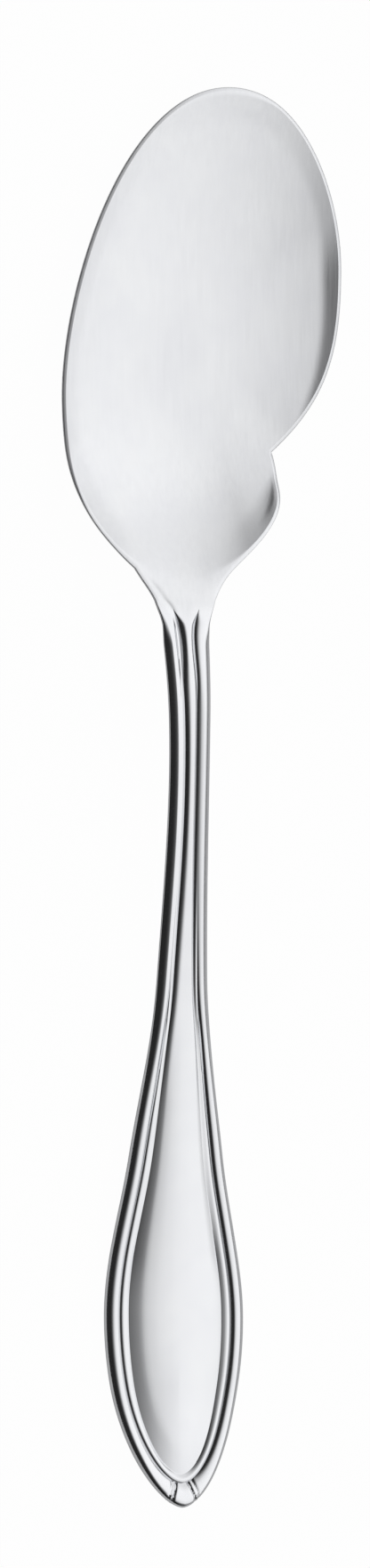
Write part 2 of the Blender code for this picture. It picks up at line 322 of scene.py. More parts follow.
def turn_up(share, start, bend):
    """0 up to start, then a slope that grows evenly until bend and stays the same up to 1 at the end."""
    past = max(0.0, share - start)
    run_in = bend - start
    risen = past * past / (2 * run_in) if share < bend else past - run_in / 2
    return risen / (1.0 - start - run_in / 2)


def wedge(share, struck):
    """A share of the way down a shoulder that is narrower where the groove is only begun."""
    return min(max((share - (1.0 - struck)) / struck, 0.0), 1.0) if struck > 0.0 else 0.0


print("fall of a sharp gable at half its width:", round(gable_drop(0.5, 0.1), 2))

# %% [markdown]
# ## The panel and the middle ridge
# The panel is softly crowned and rolls over at its sides. On the stem it has shrunk to the middle ridge, a
# gable with a rounded top whose right side falls more sharply. Two meshes would have to be joined in the
# taper, so one function gives both shapes and blends them.

# %% From the middle line to the valley
FACET_START, FACET_BEND = 0.70, 0.76
SHOULDER_LEFT, SHOULDER_RIGHT = 0.90 * MM, 0.50 * MM
RIDGE_ROUND = 0.80


def panel_place(section, share, side):
    """A plan point on the panel or the middle ridge, and how far it drops below the top of the handle."""
    at = math.sin(share * math.pi / 2)
    panel = section.size * (PANEL_CROWN * at**2 + PANEL_FACET * turn_up(at, FACET_START, FACET_BEND))
    round_width = SHOULDER_RIGHT if side > 0.0 else SHOULDER_LEFT
    shoulder = section.struck * min(1.0, round_width / max(section.valley.x, round_width))
    ridge = section.ridge_depth * gable_drop(wedge(at, shoulder), RIDGE_ROUND)
    return section.middle.lerp(section.valley, at), mix(ridge, panel, section.opened)


print("panel drop at its side in mm:", in_mm(panel_place(sections[0], 1.0, 1.0)[1]))

# %% [markdown]
# ## The ornament at the point
# The bead stops on both sides of the point at a pair of short grooves, and a plain drop fills the point
# between them. A boolean could cut the grooves. Lowering the mesh points is simpler and stays smooth,
# because the columns crowd together there.

# %% Short grooves across the bead
DROP_TOP, DROP_HALF = 3.2 * MM, 0.85 * MM
DROP_FLARE = 0.38
ORNAMENT_END = 2 * DROP_TOP
CUT_DEPTH, CUT_WIDTH, CUT_GAP = 0.26 * MM, 0.17 * MM, 0.62 * MM
SECOND_CUT = 0.7


def ornament_drop(across, along):
    """The depth of the short grooves that cut the bead off beside the point."""
    if along > ORNAMENT_END:
        return 0.0
    beside = abs(across) - DROP_HALF - (DROP_TOP - along) * DROP_FLARE
    return CUT_DEPTH * (hump(beside, CUT_WIDTH) + SECOND_CUT * hump(beside - CUT_GAP, CUT_WIDTH))


print("first groove in mm:", in_mm(ornament_drop(DROP_HALF, DROP_TOP)))

# %% [markdown]
# ## The thread and the bead
# On the wide end the thread is a sharp little gable between its two grooves, and the bead falls to the
# groove in a round flank. On the thin stem both melt into one hollow between the bead and the middle
# ridge. Near the neck a thin engraved line remains of the thread, on the left side only. A bump could
# paint all this, but it would leave the outline of the ridges flat.

# %% The hollow of the stem and its engraved line
STEM_FLANK_POWER, NECK_FLANK_POWER = 2.1, 3.6
NECK_FLANK = 7.5 * MM
ENGRAVED, ENGRAVED_HALF = 0.19 * MM, 0.13 * MM
LINE_START = 1.5 * MM
ENGRAVED_END, ENGRAVED_FADE = 7.0 * MM, 7.0 * MM


def hollow_drop(section, from_bead):
    """The drop in the hollow, at a share of the way from the crest of the bead to the valley."""
    near_neck = 1.0 - ease((section.to_neck - NECK_FLANK) / NECK_FLANK)
    power = mix(STEM_FLANK_POWER, NECK_FLANK_POWER, near_neck)
    return mix(section.sink, section.valley_depth, wedge(from_bead, section.struck) ** power)


def engraved_drop(section, plan, side):
    """The depth of the engraved line, which follows the groove line near the neck."""
    if side > 0.0:
        return 0.0
    begun = ease((section.to_neck - LINE_START) / GROOVE_RUN)
    kept = 1.0 - ease((section.to_neck - ENGRAVED_END) / ENGRAVED_FADE)
    return ENGRAVED * begun * kept * max(0.0, 1.0 - (plan - section.groove).length / ENGRAVED_HALF)


print("engraved line in mm:", in_mm(max(engraved_drop(s, s.groove, -1.0) for s in sections)))

# %% [markdown]
# ### Their two places
# Each part of the border works out its shape on the wide end, and blends it into the hollow as the handle
# narrows.

# %% From the valley to the crest of the bead
THREAD_SINK, THREAD_CREST, THREAD_ROUND = 0.25 * MM, 0.66, 0.20
FLANK_POWER = 2.8


def thread_place(section, share, side):
    """A plan point between the valley and the groove, and its drop."""
    at = (1.0 - math.cos(share * math.pi)) / 2
    plan = section.valley.lerp(section.groove, at)
    foot = mix(section.valley_depth, section.groove_depth, at)
    crest = min(section.sink + THREAD_SINK * section.struck, foot)
    from_crest = 1.0 - at / THREAD_CREST if at < THREAD_CREST else (at - THREAD_CREST) / (1.0 - THREAD_CREST)
    thread = mix(crest, foot, gable_drop(from_crest, THREAD_ROUND))
    hollow = hollow_drop(section, mix(1.0, section.inner_width / section.flank_width, at))
    return plan, mix(hollow, thread, section.bordered) + engraved_drop(section, plan, side)


def bead_place(section, share, side):
    """A plan point between the groove and the crest of the bead, and its drop."""
    at = math.sin((1.0 - share) * math.pi / 2)
    plan = section.groove.lerp(section.edge, (1.0 - section.outer) * (1.0 - at))
    flank = mix(section.sink, section.groove_depth, at**FLANK_POWER)
    hollow = hollow_drop(section, at * section.inner_width / section.flank_width)
    drop = mix(hollow, flank, section.bordered) + engraved_drop(section, plan, side)
    return plan, drop + ornament_drop(*plan)


widest = sections[POINT_COLUMNS]
print("drop half way down the flank in mm:", in_mm(bead_place(widest, 0.5, 1.0)[1]))

# %% [markdown]
# ## The side and the underside
# From the crest of the bead the side rounds over to the outline, and the underside runs back to the middle
# in a flat curve. At the neck both change to the thin rim of the bowl, so that the pieces meet in one
# section. A Bevel modifier would round the whole handle alike.

# %% Over the edge and back underneath
EDGE_POWER_STEM, EDGE_POWER_END = 1.72, 1.25
EDGE_FALL_STEM, EDGE_FALL_END = 0.69, 0.95
EDGE_LIMIT = 0.85
RIM_THICKNESS = 1.1 * MM
UNDER_ROUND, UNDER_SHARE = 0.48 * MM, 0.25


def edge_fall(section):
    """How far the rounded side falls from the crest of the bead to the outline."""
    fall = mix(EDGE_FALL_STEM, EDGE_FALL_END, section.opened) * section.outer_width
    most = (thickness(section.edge.y) - section.sink) * EDGE_LIMIT
    return mix(RIM_ROUND, min(fall, most), section.rounded)


def edge_place(section, share, side):
    """A plan point between the crest of the bead and the outline, and its drop."""
    turn = share * math.pi / 2
    power = mix(1.0, mix(EDGE_POWER_STEM, EDGE_POWER_END, section.opened), section.rounded)
    plan = section.edge.lerp(section.groove, section.outer * (1.0 - math.sin(turn) ** power))
    drop = section.sink + edge_fall(section) * (1.0 - max(0.0, math.cos(turn)) ** power)
    return plan, drop + ornament_drop(*plan)


def under_place(section, share, side):
    """A plan point between the outline and the middle of the underside, and its drop."""
    edge, middle = section.edge, section.middle
    turn = share * math.pi / 2
    hull = edge.lerp(middle, 1.0 - math.cos(turn))
    hull_drop = mix(thickness(hull.y), section.sink + edge_fall(section), 1.0 - math.sin(turn))
    inner = edge.lerp(section.groove, UNDER_ROUND / section.bead)
    if share < UNDER_SHARE:
        bend = share / UNDER_SHARE * math.pi / 2
        plan = edge.lerp(inner, 1.0 - math.cos(bend))
        drop = mix(RIM_ROUND, RIM_THICKNESS, math.sin(bend))
    else:
        plan = inner.lerp(middle, (share - UNDER_SHARE) / (1.0 - UNDER_SHARE))
        drop = mix(thickness(edge.y), RIM_THICKNESS, ease(plan.x / edge.x if edge.x > 0.0 else 0.0))
    return plan.lerp(hull, section.rounded), mix(drop, hull_drop, section.rounded)


print("fall of the side in mm:", in_mm(edge_fall(widest)))

# %% [markdown]
# ## The crease at the neck
# From the start of the left groove a soft crease runs into the bowl and out to the heel. A bump could show
# it, but a real dip also shows from the side. It crosses the neck plane, so both pieces share it.

# %% A soft dip across the neck
CREASE_DEPTH, CREASE_HALF = 0.13 * MM, 0.42 * MM
CREASE_START, CREASE_END = -2.2 * MM, 3.6 * MM
CREASE_FADE_IN, CREASE_FADE_OUT = 1.0 * MM, 2.0 * MM
crease_across = curve_through((-2.2, 1.5), (-0.6, 2.3), (0.0, 2.85), (1.9, 4.2), (3.6, 5.6))


def crease_drop(across, from_neck):
    """The depth of the crease at a place, measured from the neck plane towards the bowl."""
    if across > 0.0 or not CREASE_START < from_neck < CREASE_END:
        return 0.0
    begun = ease((from_neck - CREASE_START) / CREASE_FADE_IN)
    kept = ease((CREASE_END - from_neck) / CREASE_FADE_OUT)
    return CREASE_DEPTH * (begun * kept) * hump(-across - crease_across(from_neck), CREASE_HALF)


print("crease at the neck plane in mm:", in_mm(crease_drop(-crease_across(0.0), 0.0)))

# %% [markdown]
# ## Rings of the handle
# The rings run from the middle of the top, over panel, thread, bead and side, to the middle of the
# underside. A subdivision modifier could round a coarser mesh, but it would soften the grooves. So there
# are many rings, most of them where the section bends strongly.

# %% Places of a ring
RING_COUNTS = ((panel_place, 16), (thread_place, 8), (bead_place, 10), (edge_place, 12), (under_place, 16))

rings = [(panel_place, 0.0)]
for part_place, count in RING_COUNTS:
    rings += [(part_place, i / count) for i in range(1, count + 1)]


def handle_place(ring, column, side):
    """The place of one mesh point of a ring. The side is 1 on the right and -1 on the left."""
    part_place, share = ring
    plan, drop = part_place(sections[column], share, side)
    if part_place is not under_place:
        drop += crease_drop(side * plan.x, plan.y - handle_length)
    return on_spoon(side * plan.x, plan.y, top_of_handle(plan.y) - drop)


def ring_places(ring):
    """Places of a whole ring: from the neck on the left, round the point, to the neck on the right."""
    columns = range(len(sections))
    right = [handle_place(ring, column, 1.0) for column in columns]
    left = [handle_place(ring, column, -1.0) for column in reversed(columns[1:])]
    return left + right


print("rings of the handle:", len(rings))

# %% [markdown]
# ## Growing a mesh ring by ring
# Both pieces are grown from a chain of edges. Each extrude makes the next ring, and the new points move to
# their places. Every point carries the number of its column, and the extrude copies that number. A list of
# all faces would need bookkeeping that the operator does here.


# %% Chain, extrude and finish
def grow_mesh(rings, closed=False):
    """Grows a mesh through rings of places, and returns it with the edges of its first and last ring."""
    bm = bmesh.new()
    number = bm.verts.layers.int.new("column")
    corners = [bm.verts.new(place) for place in rings[0]]
    for column, corner in enumerate(corners):
        corner[number] = column
    pairs = list(zip(corners, corners[1:]))
    if closed:
        pairs.append((corners[-1], corners[0]))
    first = [bm.edges.new(pair) for pair in pairs]
    chain = first
    for places in rings[1:]:
        made = bmesh.ops.extrude_edge_only(bm, edges=chain)["geom"]
        points = {item for item in made if isinstance(item, bmesh.types.BMVert)}
        for point in points:
            point.co = places[point[number]]
        edges = [item for item in made if isinstance(item, bmesh.types.BMEdge)]
        chain = [edge for edge in edges if points.issuperset(edge.verts)]
    return bm, first + chain


SHARP_DEGREES = 50.0


def finish_mesh(bm, name):
    """Makes a smooth shaded object of a mesh, with flat ends kept sharp and its faces in a fixed order."""
    bmesh.ops.recalc_face_normals(bm, faces=bm.faces[:])
    bm.verts.index_update()
    bm.faces.sort(key=lambda face: face.verts[0].index * len(bm.verts) + face.verts[2].index)
    mesh = bpy.data.meshes.new(name)
    bm.to_mesh(mesh)
    bm.free()
    mesh.shade_smooth()
    mesh.set_sharp_from_angle(angle=math.radians(SHARP_DEGREES))
    piece = bpy.data.objects.new(name, mesh)
    bpy.context.scene.collection.objects.link(piece)
    print(name, "faces:", len(mesh.polygons))
    return piece


# %% [markdown]
# ## Building the handle
# The first chain runs along the middle line from the neck to the point and back, so it lies double. When
# the last ring is back there underneath, doubles are merged and the flat end is filled. One half and a
# mirror would be shorter, but only the left side has the engraved line and the crease.

# %% The handle
MERGE_DISTANCE = 1e-7

handle_mesh, _ = grow_mesh([ring_places(ring) for ring in rings])
bmesh.ops.remove_doubles(handle_mesh, verts=handle_mesh.verts[:], dist=MERGE_DISTANCE)
bmesh.ops.holes_fill(handle_mesh, edges=[e for e in handle_mesh.edges if e.is_boundary], sides=0)
handle = finish_mesh(handle_mesh, "spoon_handle")

# %% [markdown]
# ## Where the satin of the bowl ends
# The grinding belt of the bowl runs on over the neck a little, furthest on the middle ridge. A second
# material would end in a hard line, so a value on every point fades one finish into the other.

# %% A value that fades from satin to polished
SATIN_START, SATIN_HALF = 0.2 * MM, 1.3 * MM
SATIN_RUN, SATIN_RUN_SIDE = 5.0 * MM, 2.0 * MM

satin = handle.data.attributes.new("satin", "FLOAT", "POINT")
for vertex, value in zip(handle.data.vertices, satin.data):
    run = mix(SATIN_RUN, SATIN_RUN_SIDE, ease(abs(vertex.co.x - middle_x) / SATIN_HALF))
    value.value = 1.0 - ease((neck_y - vertex.co.y - SATIN_START) / run)
print("points with some satin:", sum(value.value > 0.0 for value in satin.data))

# %% [markdown]
# ## The bowl, seen from above
# The bowl is a long oval that leans to the right. A step is cut out of its right side: the notch, with a
# small lobe behind it. Many traced points would wobble. A few Bezier knots give a clean line, each at a
# place that the eye knows: neck, heel, lobe, notch, side and tip.

# %% Knots and outlines
UP, BACK, DOWN = 90.0, 180.0, 270.0
neck_half = half_width(handle_length)


def knot(across, from_neck, arrive, leave, fullness):
    """A place on the outline, its directions in degrees from the right, and how full the next curve is."""
    return Vector((across * MM, from_neck * MM, 0.0)), arrive, leave, fullness


def outline_through(knots, steps):
    """Plan points along the curves through all knots, with a number of steps for each curve."""
    outline = []
    for (start, end), count in zip(zip(knots, knots[1:]), steps):
        reach = (end[0] - start[0]).length * start[3]
        leave = math.radians(start[2])
        arrive = math.radians(end[1])
        first_handle = start[0] + reach * Vector((math.cos(leave), math.sin(leave), 0.0))
        last_handle = end[0] - reach * Vector((math.cos(arrive), math.sin(arrive), 0.0))
        outline += interpolate_bezier(start[0], first_handle, last_handle, end[0], count + 1)[:-1]
    return [point.xy for point in outline] + [knots[-1][0].xy]


neck_right = knot(neck_half / MM, 0.0, 66.0, 66.0, 0.35)
heel_right = knot(7.30, 4.2, 42.0, 42.0, 0.33)
lobe = knot(15.0, 14.9, UP, UP, 0.45)
notch = knot(14.75, 19.8, 100.0, 40.0, 0.40)
right_side = knot(24.6, 44.0, UP, UP, 0.37)
bowl_tip = knot(8.8, 68.0, BACK, BACK, 0.31)
left_side = knot(-15.45, 26.2, DOWN, DOWN, 0.42)
heel_left = knot(-6.80, 4.3, -42.0, -62.0, 0.35)
neck_left = knot(-neck_half / MM, 0.0, -66.0, -66.0, 0.35)
rim_knots = (neck_right, heel_right, lobe, notch, right_side, bowl_tip, left_side, heel_left, neck_left)
rim = outline_through(rim_knots, (14, 22, 16, 36, 44, 60, 44, 14))
rim_width = max(p.x for p in rim) - min(p.x for p in rim)
print("rim points:", len(rim), "bowl width in mm:", in_mm(rim_width))

# %% [markdown]
# ## The press tool
# The dish is pressed with a whole oval tool, and the notch is cut out afterwards, so the rim dips where
# the cut goes deeper. Working from the rim alone would pull the notch into the floor as a dent. So the
# height of the dish follows the oval, along rays from its deepest place.

# %% The oval and its reach
heel_middle = knot(0.0, 1.9, 0.0, 0.0, 0.33)
heel_round = knot(-7.00, 4.2, -42.0, -42.0, 0.35)
press_right = knot(24.75, 39.0, UP, UP, 0.42)
oval_knots = (heel_middle, heel_right, press_right, bowl_tip, left_side, heel_round, heel_middle)
oval = outline_through(oval_knots, (24, 70, 50, 70, 50, 24))
deepest = Vector((4.6 * MM, 37.0 * MM))
CROSSING_SLACK = 1e-5
PRESS_SOFTNESS = 12.0  # degrees


def reach_of(outline, towards):
    """The distance from the deepest place to a closed outline, in the direction of a point."""
    ray = (towards - deepest).normalized()
    reach = 0.0
    for a, b in zip(outline, outline[1:]):
        side = b - a
        turn = ray.cross(side)
        if turn != 0.0 and -CROSSING_SLACK <= (a - deepest).cross(ray) / turn <= 1.0 + CROSSING_SLACK:
            reach = max(reach, (a - deepest).cross(side) / turn)
    return reach


compass = [Vector((math.cos(math.radians(a)), math.sin(math.radians(a)))) for a in range(360)]
sharp_reaches = [reach_of(oval, deepest + ray) for ray in compass]


def smooth_reach(towards):
    """The reach of the press tool. It has no tight turns, so neighbouring directions are averaged."""
    heading = math.degrees(math.atan2(towards.y - deepest.y, towards.x - deepest.x))
    total = weight = 0.0
    for angle, reach in enumerate(sharp_reaches):
        share = hump((angle - heading + 180.0) % 360.0 - 180.0, PRESS_SOFTNESS)
        total += share * reach
        weight += share
    return total / weight


print("reach of the oval in mm:", in_mm(min(sharp_reaches)), "to", in_mm(max(sharp_reaches)))

# %% [markdown]
# ## Rays of the dish
# Each column of the bowl's mesh is one ray. Most end just inside the rim, and the others on the plane
# across the neck. The fill of a ray is the share of the way to the oval that it covers: less than 1 in the
# notch, and more than 1 at the neck, behind the oval. A plain grid would leave steps along the rim.

# %% Ends and fills of the rays
DISH_INSET = 0.50 * MM
NECK_COLUMNS = 40


def inward_at(index):
    """The direction into the bowl, square to the rim."""
    along = rim[min(index + 1, len(rim) - 1)] - rim[max(index - 1, 0)]
    if index in (0, len(rim) - 1):
        return Vector((-math.copysign(1.0, rim[index].x), 0.0))
    return Vector((-along.y, along.x)).normalized()


inwards = [inward_at(i) for i in range(len(rim))]
neck_reach = neck_half - DISH_INSET
neck_ends = [Vector((mix(-neck_reach, neck_reach, i / NECK_COLUMNS), 0.0)) for i in range(1, NECK_COLUMNS)]
neck_count = len(neck_ends)
dish_ends = neck_ends + [point + DISH_INSET * inward for point, inward in zip(rim, inwards)]
fills = [(end - deepest).length / (smooth_reach(end) - DISH_INSET) for end in dish_ends]
print("rays of the dish:", len(dish_ends), "fills:", round(min(fills), 2), "to", round(max(fills), 2))

# %% [markdown]
# ## How the walls rise
# The floor is nearly flat. The walls curve up from it, later towards the heel, and on the right side they
# end in a lip that turns up at a bend. A subdivision surface would spread the curve evenly and lose the
# lip. Here each ray gets its own power and its own share of lip.

# %% Powers and lips of the rays
WALL_POWER = 2.0
HEEL_POWER, HEEL_SPREAD = 3.2, math.radians(48.0)
NECK_SPREAD = math.radians(20.0)
LIP, LIP_LEAST = 0.20, 0.3
LIP_HEADING = math.radians(-20.0)
LIP_FROM, LIP_RUN = 0.52, 0.3
neck_top = top_of_handle(handle_length)
rim_height = curve_through(
    (2.2, neck_top / MM), (7.0, 7.7), (12.0, 6.4), (20.0, 4.8), (33.0, 4.3), (68.0, 4.6), level_start=True
)


def lip_at(end):
    """The share of lip in the wall: all of it on the right side, and little opposite."""
    towards = end - deepest
    facing = math.cos(math.atan2(towards.y, towards.x) - LIP_HEADING)
    return LIP * mix(LIP_LEAST, 1.0, ease((facing - LIP_FROM) / LIP_RUN))


lips = [lip_at(end) for end in dish_ends]
pressed = [rim_height(deepest.lerp(end, 1.0 / fill).y) for end, fill in zip(dish_ends, fills)]
from_neck_axis = [(end - deepest).angle(-deepest) for end in dish_ends]
necknesses = [hump(angle, NECK_SPREAD) for angle in from_neck_axis]
powers = [mix(WALL_POWER, HEEL_POWER, hump(angle, HEEL_SPREAD)) for angle in from_neck_axis]
print("heights of the oval in mm:", in_mm(min(pressed)), "to", in_mm(max(pressed)))

# %% [markdown]
# ## The sweep up to the neck
# Towards the neck the floor rises in a long S and meets the handle at the handle's own slope. Two powers
# of one share make such an S, weighted by that slope. A loft would need its slopes set by hand.

# %% Heights of the pressed dish
FLOOR, FLOOR_SHARE = 1.4 * MM, 0.10
LIP_START, LIP_BEND = 0.85, 0.91
NECK_POWER, NECK_ROUND_POWER = 3.4, 7.0
neck_rise = fills[neck_count // 2] - FLOOR_SHARE
neck_run = deepest.length * (1.0 - FLOOR_SHARE / (neck_rise + FLOOR_SHARE))
neck_fall = (top_of_handle(handle_length - MM) - neck_top) / MM
rounding_over = (NECK_POWER - neck_fall * neck_run / (neck_top - FLOOR)) / (NECK_ROUND_POWER - NECK_POWER)


def neck_sweep(share):
    """A rise from the floor that rounds over and meets the neck at the slope of the handle."""
    return (1.0 + rounding_over) * share**NECK_POWER - rounding_over * share**NECK_ROUND_POWER


def pressed_height(column, share):
    """The height of the dish at a share of the way from the deepest place to the end of a ray."""
    past_floor = max(0.0, share * fills[column] - FLOOR_SHARE)
    risen = min(past_floor / (1.0 - FLOOR_SHARE), 1.0)
    wall = mix(risen ** powers[column], turn_up(risen, LIP_START, LIP_BEND), lips[column])
    return mix(FLOOR, pressed[column], mix(wall, neck_sweep(past_floor / neck_rise), necknesses[column]))


print("slope at the neck:", round(neck_fall, 3))

# %% [markdown]
# ## The fit at the neck and the curl of the lobe
# Along the neck plane the dish has to end exactly at the height of the handle, so the small misfit of each
# ray is spread over its last stretch. The lobe has a faint curl along its edge. Both are heights added to
# the dish, not pushed into the finished mesh, so the rim and the underside follow them.

# %% Heights of the finished dish
NECK_FIT = 4.0 * MM
FIT_START, FIT_RUN = 0.7, 0.3
CURL, CURL_START, CURL_RUN = 0.11 * MM, 0.945, 0.035
CURL_FROM_NECK, CURL_HALF = 12.2 * MM, 2.1 * MM

misfits = [neck_top - pressed_height(column, 1.0) for column in range(neck_count)]
for end in dish_ends[neck_count:]:
    nearest = misfits[neck_count - 1 if end.x > 0.0 else 0]
    misfits.append(nearest * (1.0 - ease(end.y / NECK_FIT)))
curls = [CURL * hump(end.y - CURL_FROM_NECK, CURL_HALF) if end.x > neck_half else 0.0 for end in dish_ends]


def dish_top(column, share):
    """The height inside the bowl, fitted to the height of the handle at the neck."""
    curl = curls[column] * ease((share - CURL_START) / CURL_RUN)
    return pressed_height(column, share) + curl + misfits[column] * ease((share - FIT_START) / FIT_RUN)


print("largest misfit in mm:", in_mm(max(abs(m) for m in misfits)))

# %% [markdown]
# ## The thickness of the bowl
# The sheet is thickest in the floor and thin at the rim, and under the neck a belly carries on the section
# of the handle. A Solidify modifier gives one thickness, so the underside is worked out here.

# %% Sheet and belly
EDGE_THICKNESS = 0.86 * MM
NECK_BLEND = 14.0 * MM


def rim_thickness(from_neck):
    return mix(RIM_THICKNESS, EDGE_THICKNESS, ease(from_neck / NECK_BLEND))


def dish_thickness(point, share):
    """The thickness of the bowl, with the belly under the neck fading out towards the middle."""
    sheet = mix(FLOOR, rim_thickness(point.y), ease(share))
    away = point.y / NECK_BLEND
    belly = ease(1.0 - abs(point.x) / (neck_half * (1.0 + away)))
    return sheet + (thickness(handle_length) - RIM_THICKNESS) * belly * ease(1.0 - away)


print("thickness at the neck in mm:", in_mm(dish_thickness(neck_ends[neck_count // 2], 1.0)))

# %% [markdown]
# ## The ground rim
# The rim is ground: a narrow slope on the inside, a soft round, and a longer slope underneath. Next to the
# neck it is only rounded, like the handle's edge. A bevel would be the same everywhere, so the rings over
# the rim follow two profiles, which blend behind the heel.

# %% Profiles of the rim
ROUND_STEPS = 7
GROUND_START, GROUND_RUN = 9.0 * MM, 12.0 * MM
GROUND_RIM = (  # inset and drop in mm
    (0.43, 0.02), (0.36, 0.05), (0.24, 0.10), (0.13, 0.15), (0.05, 0.20), (0.012, 0.26), (0.0, 0.34),
    (0.03, 0.50), (0.09, 0.65), (0.18, 0.78), (0.30, 0.86),
)
edge_round = curve_through((0.0, RIM_ROUND / MM), (4.0, 0.14), (9.0, 0.13), (30.0, 0.13))


def plain_rim(step, radius, thick):
    """Inset and drop of a step over an edge that is rounded at the top and a little underneath."""
    if step < ROUND_STEPS:
        turn = math.radians(90.0) * (step + 1) / ROUND_STEPS
        return radius * (1.0 - math.sin(turn)), radius * (1.0 - math.cos(turn))
    turn = math.radians(90.0) * (step + 1 - ROUND_STEPS) / (len(GROUND_RIM) - ROUND_STEPS)
    return UNDER_ROUND * (1.0 - math.cos(turn)), mix(radius, thick, math.sin(turn))


def rim_place(column, step):
    """A point on the rim, or on the flat joint face at the neck."""
    top = dish_top(column, 1.0) - crease_drop(*dish_ends[column])
    if column < neck_count:
        thick = dish_thickness(neck_ends[column], 1.0)
        return on_spoon(neck_ends[column].x, handle_length, top - thick * (step + 1) / len(GROUND_RIM))
    edge, inward = rim[column - neck_count], inwards[column - neck_count]
    ground = ease((edge.y - GROUND_START) / GROUND_RUN)
    plain = plain_rim(step, edge_round(edge.y), rim_thickness(edge.y))
    inset, drop = (mix(a, b * MM, ground) for a, b in zip(plain, GROUND_RIM[step]))
    plan = edge + inset * inward
    return on_spoon(plan.x, handle_length + plan.y, top - drop)


print("rings over the rim:", len(GROUND_RIM))

# %% [markdown]
# ## Building the bowl
# The bowl grows the same way, from a flat disc in its middle: out along the dish, over the rim, and back
# underneath. Across the neck the rings run down the flat face. A spin would be shorter, but a leaning oval
# with a notch is no turned shape.

# %% The bowl
DISC_SHARE, DISH_START = 0.09, 0.10
DISH_RINGS = 42
dish_shares = [DISC_SHARE]
for i in range(1, DISH_RINGS + 1):
    dish_shares.append(mix(DISH_START, 1.0, math.sin(i / DISH_RINGS * math.pi / 2)))


def dish_ring(share, under=False):
    """Places of a ring inside the bowl, or underneath it."""
    places = []
    for column, end in enumerate(dish_ends):
        plan = deepest.lerp(end, share)
        drop = dish_thickness(plan, share) if under else crease_drop(plan.x, plan.y)
        places.append(on_spoon(plan.x, handle_length + plan.y, dish_top(column, share) - drop))
    return places


bowl_rings = [dish_ring(share) for share in dish_shares]
for step in range(len(GROUND_RIM)):
    bowl_rings.append([rim_place(column, step) for column in range(len(dish_ends))])
bowl_rings += [dish_ring(share, under=True) for share in dish_shares[-2::-1]]
bowl_mesh, disc_edges = grow_mesh(bowl_rings, closed=True)
bmesh.ops.holes_fill(bowl_mesh, edges=disc_edges, sides=0)
bowl = finish_mesh(bowl_mesh, "spoon_bowl")

# %% [markdown]
# ## Finishes
# Both pieces are the same stainless steel, satin in the bowl and polished on the handle. Pictures of steel
# could be wrapped round them, but nodes stay sharp at any size and have no seams.


# %% Nodes and colours
def linear(hex_colour):
    """An sRGB hex value as the linear colour that a shader wants."""
    values = [int(hex_colour[i : i + 2], 16) / 255 for i in (1, 3, 5)]
    return (*[v / 12.92 if v <= 0.04045 else ((v + 0.055) / 1.055) ** 2.4 for v in values], 1.0)


def add_node(tree, kind, settings=None, *sources, **named):
    """Adds a node with its settings, and links sockets or nodes to its inputs, in order or by name."""
    node = tree.nodes.new("ShaderNode" + kind)
    for name, value in (settings or {}).items():
        if name in node.inputs:
            node.inputs[name].default_value = value
        else:
            setattr(node, name, value)
    for socket, source in [*enumerate(sources), *named.items()]:
        output = getattr(source, "outputs", [source])[0]
        tree.links.new(output, node.inputs[socket])
    return node


print("mid grey #808080 is", round(linear("#808080")[0], 3), "in linear light")

# %% [markdown]
# ## Grain of the finishes
# A grinding belt leaves lines a few hundredths of a millimetre wide, too fine for a picture of the whole
# spoon, so they are drawn about ten times as coarse and very faint. Slow patches come from the hand that
# holds the work. Stretched noise gives both, with its scale worked out from real sizes.

# %% Bare steel and the lines on it
PATCH = 7.0 * MM
PATCH_DETAIL, LINE_DETAIL = 2.0, 3.0
GRAIN_ROUGHNESS = 0.6
NOISE_LOW, NOISE_HIGH = 0.25, 0.75  # nearly all of the noise lies between these
STEEL_TONES = ((0.3, "#E2E3E6"), (0.7, "#E6E7E9"))


def grain(tree, across, along, detail):
    """Noise in real sizes, stretched along the spoon."""
    place = add_node(tree, "TexCoord")
    scale = (1.0 / across, 1.0 / along, 1.0 / across)
    sized = add_node(tree, "Mapping", {"Scale": scale}, place.outputs["Object"])
    settings = {"Scale": 1.0, "Detail": detail, "Roughness": GRAIN_ROUGHNESS}
    return add_node(tree, "TexNoise", settings, sized)


def worked_lines(tree, line, stroke, low, high):
    """Lines left by a belt or a wheel, and a roughness that wavers along them."""
    lines = grain(tree, line, stroke, LINE_DETAIL)
    settings = {"From Min": NOISE_LOW, "From Max": NOISE_HIGH, "To Min": low, "To Max": high}
    return lines, add_node(tree, "MapRange", settings, lines)


def steel(name):
    """Bare stainless steel: a metal of a slightly cool grey, a little uneven in patches."""
    material = bpy.data.materials.new(name)
    material.use_nodes = True
    tree = material.node_tree
    shader = tree.nodes["Principled BSDF"]
    shader.inputs["Metallic"].default_value = 1.0
    tone = add_node(tree, "ValToRGB", {}, grain(tree, PATCH, PATCH, PATCH_DETAIL))
    for stop, (place, colour) in zip(tone.color_ramp.elements, STEEL_TONES):
        stop.position = place
        stop.color = linear(colour)
    tree.links.new(tone.outputs["Color"], shader.inputs["Base Color"])
    return material, tree, shader


print("patches of the steel in mm:", in_mm(PATCH))

# %% [markdown]
# ## Satin steel of the bowl
# The bowl is belt ground: its roughness blurs the light into one soft sheen, and faint lines run along it.
# An anisotropic shader would stretch the highlights too, but a ground bowl shows none so sharp. Roughness
# and a very shallow bump are enough.

# %% Satin ground stainless steel
BELT_LINE, BELT_STROKE = 0.35 * MM, 9.0 * MM  # drawn about ten times as coarse as real belt lines
BELT_DEPTH, BELT_STRENGTH = 0.01 * MM, 0.5
SATIN_LOW, SATIN_HIGH = 0.31, 0.41

